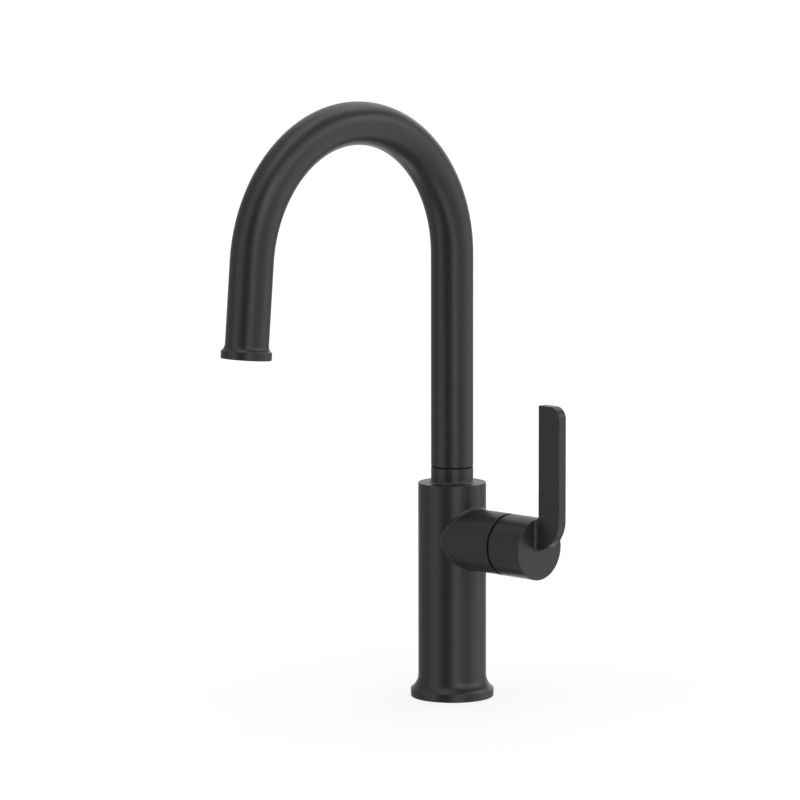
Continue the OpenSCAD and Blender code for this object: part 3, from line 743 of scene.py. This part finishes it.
tube_r = 11.1
tube_bore_r = 9.9
tube_start = 122.55
riser_end = 233.8
bend_r = 71.9
bend_deg = 175
leg_len = 48.8
collar_top = 7.447
mouth_edge = 0.25

bend_rows = 101
bend = np.radians(np.concatenate([[0], np.linspace(0, bend_deg, bend_rows), [bend_deg]]))
riser_z = np.concatenate([[tube_start], np.full(bend_rows + 1, riser_end)])
leg = np.concatenate([np.zeros(bend_rows + 1), [leg_len - collar_top]])


def pipe(radius, side):
    """A ring (cos a, sin a) carried along the gooseneck: up the riser, round the bend and down the leg.

    side is 1 for the outside, which starts above the mouth's rounded edge, and -1 for the bore."""
    start = np.concatenate([[mouth_edge], np.zeros(bend_rows + 1)]) if side == 1 else 0
    middle_y = -bend_r + bend_r * np.cos(bend) - leg * np.sin(bend)
    middle_z = riser_z + start + bend_r * np.sin(bend) + leg * np.cos(bend)
    look = np.stack([np.outer(np.ones(len(bend)), np.cos(around)), np.outer(np.cos(bend), np.sin(around)),
                     np.outer(np.sin(bend), np.sin(around))], -1)
    return radius * look + np.stack([0 * bend, middle_y, middle_z], -1)[:, None], side * look


outside, inside = pipe(tube_r, 1), pipe(tube_bore_r, -1)
leg_way = np.array([0, -np.sin(np.radians(bend_deg)), np.cos(np.radians(bend_deg))])
leg_end = np.stack([outside[0][-1], inside[0][-1]])
tube_sheets = [outside, inside, (leg_end, np.tile(leg_way, (2, turns + 1, 1)))]
for run in [
    line((tube_bore_r, tube_start), (tube_r - mouth_edge, tube_start)),
    arc((tube_r - mouth_edge, tube_start + mouth_edge), mouth_edge, -90, 0, 5),
]:
    tube_sheets.append(turned(run))
tube = skin("gooseneck", tube_sheets)
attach(tube, "spout")
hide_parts("spout_tube")
tube.data.materials.append(satin_black)


# The outlet: a turned brass collar, brazed into the tube's end, flares out from it to a short band. An
# aerator with a honeycomb straightener, a steel screen and a rubber seal is screwed up into it with a
# toothed key.

collar_r = 12.9
collar_round = 0.5
flare_r = 4.2
aerator_r = 9.25
ledge_h = 9.5
ledge_top = 11.9
ledge_r = 7.55
spigot_r = 9.85
leg_start = np.array([0, -bend_r * (1 - np.cos(bend[-1])), riser_end + bend_r * np.sin(bend[-1])])
outlet = leg_start + leg_len * leg_way


def at_outlet(sheet):
    """A sheet made round the Z axis, set at the outlet and tilted with the leg about the X axis."""
    tilt = np.radians(180 - bend_deg)
    place, look = (np.stack([v[..., 0], v[..., 1] * np.cos(tilt) + v[..., 2] * np.sin(tilt),
                             v[..., 2] * np.cos(tilt) - v[..., 1] * np.sin(tilt)], -1) for v in sheet)
    return place + outlet, look


collar_runs = [
    line((aerator_r, 0), (collar_r - collar_round, 0)),
    arc((collar_r - collar_round, collar_round), collar_round, -90, 0),
    *flared(collar_r, collar_round, flare_r, tube_r, collar_top),
    line((tube_r, collar_top), (spigot_r, collar_top)),
    line((spigot_r, collar_top), (spigot_r, ledge_top)),
    line((spigot_r, ledge_top), (ledge_r, ledge_top)),
    line((ledge_r, ledge_top), (ledge_r, ledge_h)),
    line((ledge_r, ledge_h), (aerator_r, ledge_h)),
    line((aerator_r, ledge_h), (aerator_r, 0)),
]
collar = skin("outlet_ring", [at_outlet(turned(run)) for run in collar_runs])
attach(collar, "spout")
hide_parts("outlet_collar")
collar.data.materials.append(satin_black)
coat(white_plastic, "aerator_housing", "flow_straightener")
coat(steel, "aerator_screen")
coat(rubber, "aerator_seal")
